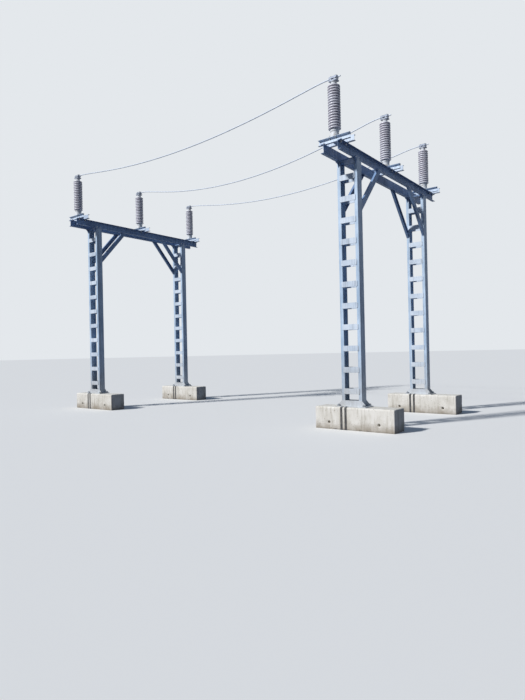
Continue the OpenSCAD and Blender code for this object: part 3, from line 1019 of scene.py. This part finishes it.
@dataclass
class Fasteners(PortalWork):
    """The bolts and nuts of one portal, and the bows on its clamps."""

    anchor_size: float = 0.046
    large_size: float = 0.034
    small_size: float = 0.024
    anchor_at: tuple[float, float] = (0.12, 0.25)
    beam_x: float = 0.045
    seat_x: float = 0.026
    bell_x: float = 0.066
    bell_y: float = 0.058
    bell_flange_t: float = 0.018
    nut_out: float = 0.014
    pad_at: tuple[float, float] = (0.04, 0.03)
    bow_x: float = 0.033
    bow_y: float = 0.045
    nut_drop: float = 0.019
    rod: float = 0.005

    def bolt(self, across: float) -> Surface:
        """A hexagon head on a round washer, with its stud's end.

        Each part is a short lathe: the washer and the stud of 12 and 8 steps, the head of
        6 steps, chamfered at its top.

        Args:
            across: size of the hexagon over its corners.

        Returns:
            The surface, standing on Z = 0.
        """
        head, washer, stud = across / 2, across * 0.62, across * 0.24
        thick, tall = across * 0.1, across * 0.62
        plate = Surface.lathe(np.array([[washer, -0.001], [washer, thick]]), 12)
        nut = Surface.lathe(np.array([
            [head * 0.94, thick], [head, thick + across * 0.05], [head, tall - across * 0.07],
            [head * 0.88, tall],
        ]), 6)
        end = Surface.lathe(np.array([[stud, tall], [stud, tall * 1.35], [stud * 0.8, tall * 1.5]]), 8)
        return Surface.joined([plate, nut, end])

    def bow(self) -> Surface:
        """One of the two bows that hold a keeper down.

        A circle of the rod's radius is carried up one side of the conductor, over the
        keeper's flat top in a rounded bend, and down the other side.

        Returns:
            The surface, about the conductor's axis.
        """
        top = self.bay.keeper_h + self.rod * 0.9
        half = np.array([[self.bow_x, -0.012], [self.bow_x, 0.01], [0.031, 0.024], [0.021, top], [0.0, top]])
        line = rounded(np.concatenate([half * [-1, 1], half[-2::-1]]), 2)
        path = np.column_stack([line[:, 0], np.zeros(len(line)), line[:, 1]])
        return Surface.swept(circle(self.rod, 8), path, (0.0, 1.0, 0.0))

    @staticmethod
    def four(middles: list[Triple], reach_x: float, reach_y: float) -> np.ndarray:
        """Four places round each middle, at the given reaches along X and Y."""
        return np.array([[x + a * reach_x, y + b * reach_y, z]
                         for x, y, z in middles for a in (-1, 1) for b in (-1, 1)])

    def build(self) -> None:
        """Places the bolts of the base plates, beams, bearers, bells, clamps and straps."""
        bay, y = self.bay, self.y
        legs = [side.value * bay.leg_gap / 2 for side in Side]
        flange_y = bay.leg_w / 2 - bay.channel_flange / 2
        seat_x = bay.bearer_gap / 2 + self.seat_x
        anchors = self.four([(x, y, bay.foot_z) for x in legs], *self.anchor_at)
        beams = self.four([(x, y, bay.beam_z + bay.channel_flange_t) for x in legs], self.beam_x, flange_y)
        seats, seats_under, bells, bells_under, pads = (
            self.four([(x, y, z) for x in bay.phases()], reach_x, reach_y) for z, reach_x, reach_y in (
                (bay.bearer_z + bay.bearer_flange_t, seat_x, flange_y),
                (bay.bearer_z - bay.channel_flange_t, seat_x, flange_y),
                (bay.insulator_z + self.bell_flange_t, self.bell_x, self.bell_y),
                (bay.insulator_z - bay.bearer_flange_t, self.bell_x + self.nut_out, self.bell_y),
                (bay.clamp_z + bay.clamp_pad_t, *self.pad_at)))
        ties = [[x - (bay.sleeper_w + bay.base_w) / 4, y + bay.strap_first + k * bay.strap_gap,
                 bay.sleeper_h + bay.strap_t] for x in legs for k in (0, 1)]
        bows = [[x, y + b * self.bow_y, bay.wire_z] for x in bay.phases() for b in (-1, 1)]
        nuts = [[x + a * self.bow_x, by, z - self.nut_drop] for x, by, z in bows for a in (-1, 1)]
        large, small = self.bolt(self.large_size), self.bolt(self.small_size)
        surface = Surface.joined([
            self.bolt(self.anchor_size).stamped(anchors), large.stamped(beams), large.stamped(seats),
            large.stamped(seats_under, Turn.DOWN), small.stamped(bells),
            small.stamped(bells_under, Turn.DOWN), small.stamped(pads), small.stamped(ties),
            small.stamped(nuts, Turn.DOWN), self.bow().stamped(bows),
        ])
        surface.piece(f"{self.portal.value}_bolts", ZINC.material(), crease=30.0)


@dataclass
class SteelFrame(PortalWork):
    """The rolled steel of one portal: it keeps its CAD nodes and gets paint and weld beads."""

    bead: float = 0.006
    ripple_gap: float = 0.0125
    ripple_high: float = 0.1
    ripple_low: float = 0.06
    bead_end: float = 0.45
    bead_lift: float = 0.2
    bead_gap: float = 0.001
    foot_reach: float = 0.08

    @staticmethod
    def paints() -> dict[Finish, tuple[str, ...]]:
        """The CAD nodes that stay, by finish.

        Returns:
            For each finish, its nodes' names without the portal's.
        """
        return {
            LEG_PAINT: ("left_leg", "right_leg"),
            BATTEN_PAINT: ("left_battens", "right_battens", "leg_shoes"),
            # The darker paint on the beams, gussets and braces is painted shade.
            BEAM_PAINT_AND_SHADE: ("front_beam", "rear_beam", "corner_gussets", "left_braces", "right_braces"),
            BEARER_PAINT: ("bearers",),
            CAST_ALUMINIUM: ("conductor_clamps", "clamp_keepers"),
            BITUMEN: ("earth_straps",),
        }

    def welds(self, lines: list[tuple[Triple, Triple]], side: Triple) -> Surface:
        """Weld beads along several straight lines.

        A small circle is carried along each line. Its radius swells and falls by about a
        tenth at each ripple, and shrinks at the two ends.

        Args:
            lines: the two ends of each bead.
            side: a direction across the beads.

        Returns:
            One surface that holds them.
        """
        beads = []
        for start, end in np.array(lines, float):
            stations = max(4, int(np.linalg.norm(end - start) / self.ripple_gap))
            path = start + (end - start) * np.linspace(0, 1, stations)[:, None]
            ripple = 1 + np.where(np.arange(stations) % 2, self.ripple_high, -self.ripple_low)
            ripple[[0, -1]] = self.bead_end
            beads.append(Surface.swept(circle(self.bead, 6) * ripple[:, None, None], path, side))
        return Surface.joined(beads)

    def batten_welds(self) -> Surface:
        """The upright beads at the ends of all the battens of the portal's two legs.

        Returns:
            One surface that holds them.
        """
        bay, y = self.bay, self.y
        half = bay.batten_h / 2
        bead = self.welds([((0, 0, -half), (0, 0, half))], (1.0, 0.0, 0.0))
        pitch = (bay.leg_h - bay.batten_first - bay.batten_last) / (bay.batten_count - 1)
        levels = bay.foot_z + bay.batten_first + np.arange(bay.batten_count) * pitch
        end_y = bay.leg_w / 2 - bay.batten_set + self.bead_gap
        face_x = bay.channel_depth / 2 + self.bead * self.bead_lift
        return bead.stamped([[side.value * bay.leg_gap / 2 + a * face_x, y + b * end_y, z]
                             for side in Side for a in (-1, 1) for b in (-1, 1) for z in levels])

    def foot_welds(self) -> Surface:
        """The beads along the shoes' feet, up the legs' edges and across the legs' two ends.

        Returns:
            One surface that holds them.
        """
        bay, y = self.bay, self.y
        depth, width, foot = bay.channel_depth / 2, bay.leg_w / 2, bay.foot_z
        reach, outer = width + self.foot_reach, depth + bay.shoe_t
        parts = []
        for side in Side:
            x = side.value * bay.leg_gap / 2
            lines = []
            for a in (-1, 1):
                lines.append(((x + a * outer, y - reach, foot), (x + a * outer, y + reach, foot)))
                for edge in (y - width, y + width):
                    lines.append(((x + a * depth, edge, foot), (x + a * depth, edge, foot + bay.shoe_h)))
            across = [((x - depth, edge, z), (x + depth, edge, z))
                      for edge in (y - width, y + width) for z in (foot, foot + bay.leg_h)]
            parts += [self.welds(lines, (1.0, 0.0, 0.0)), self.welds(across, (0.0, 0.0, 1.0))]
        return Surface.joined(parts)

    def brace_welds(self) -> Surface:
        """The beads round both ends of the knee braces, on the legs and under the crossbeams.

        A brace's end is cut square to what it stands on, so it is as long there as the
        channel's depth over the cosine, or the sine, of the brace's slope.

        Returns:
            One surface that holds them.
        """
        bay, y = self.bay, self.y
        slope = math.atan2(bay.brace_drop, bay.brace_run)
        foot, head = (bay.brace_depth / 2 / part for part in (math.cos(slope), math.sin(slope)))
        level, top = bay.beam_z - bay.brace_drop, bay.beam_z
        lines = []
        for side in Side:
            face = side.value * (bay.leg_gap - bay.channel_depth) / 2
            far = face - side.value * bay.brace_run
            for b in (-1, 1):
                back, toe = y + b * bay.leg_w / 2, y + b * (bay.leg_w / 2 - bay.brace_flange)
                for (x_low, z_low), (x_high, z_high) in (((face, level - foot), (face, level + foot)),
                                                         ((far - head, top), (far + head, top))):
                    lines += [((x_low, back, z_low), (x_high, back, z_high)),
                              ((x_low, back, z_low), (x_low, toe, z_low)),
                              ((x_high, back, z_high), (x_high, toe, z_high))]
        return self.welds(lines, (0.3, 0.5, 0.8))

    def build(self) -> None:
        """Paints the CAD nodes and adds the weld beads."""
        for finish, names in self.paints().items():
            for name in names:
                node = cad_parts[f"{self.portal.value}_{name}"]
                if not node.material_slots:
                    node.data.materials.append(finish.material())
                for slot in node.material_slots:
                    slot.material = finish.material()
                LOG.info("%s is painted", node.name)
        welds = Surface.joined([self.batten_welds(), self.foot_welds(), self.brace_welds()])
        name = f"{self.portal.value}_weld_beads"
        welds.piece(name, BATTEN_PAINT.material(), "leg_steel", crease=180.0)


def main() -> None:
    """Builds the studio, the cords and then every sub-assembly."""
    logging.basicConfig(level=logging.INFO, format="%(name)s: %(message)s")
    Studio().build()
    Conductors(BAY).build()
    Sleepers(BAY).build()
    for portal in Portal:
        SteelFrame(BAY, portal).build()
        PostInsulators(BAY, portal).build()
        Fasteners(BAY, portal).build()


if __name__ == "__main__":
    main()
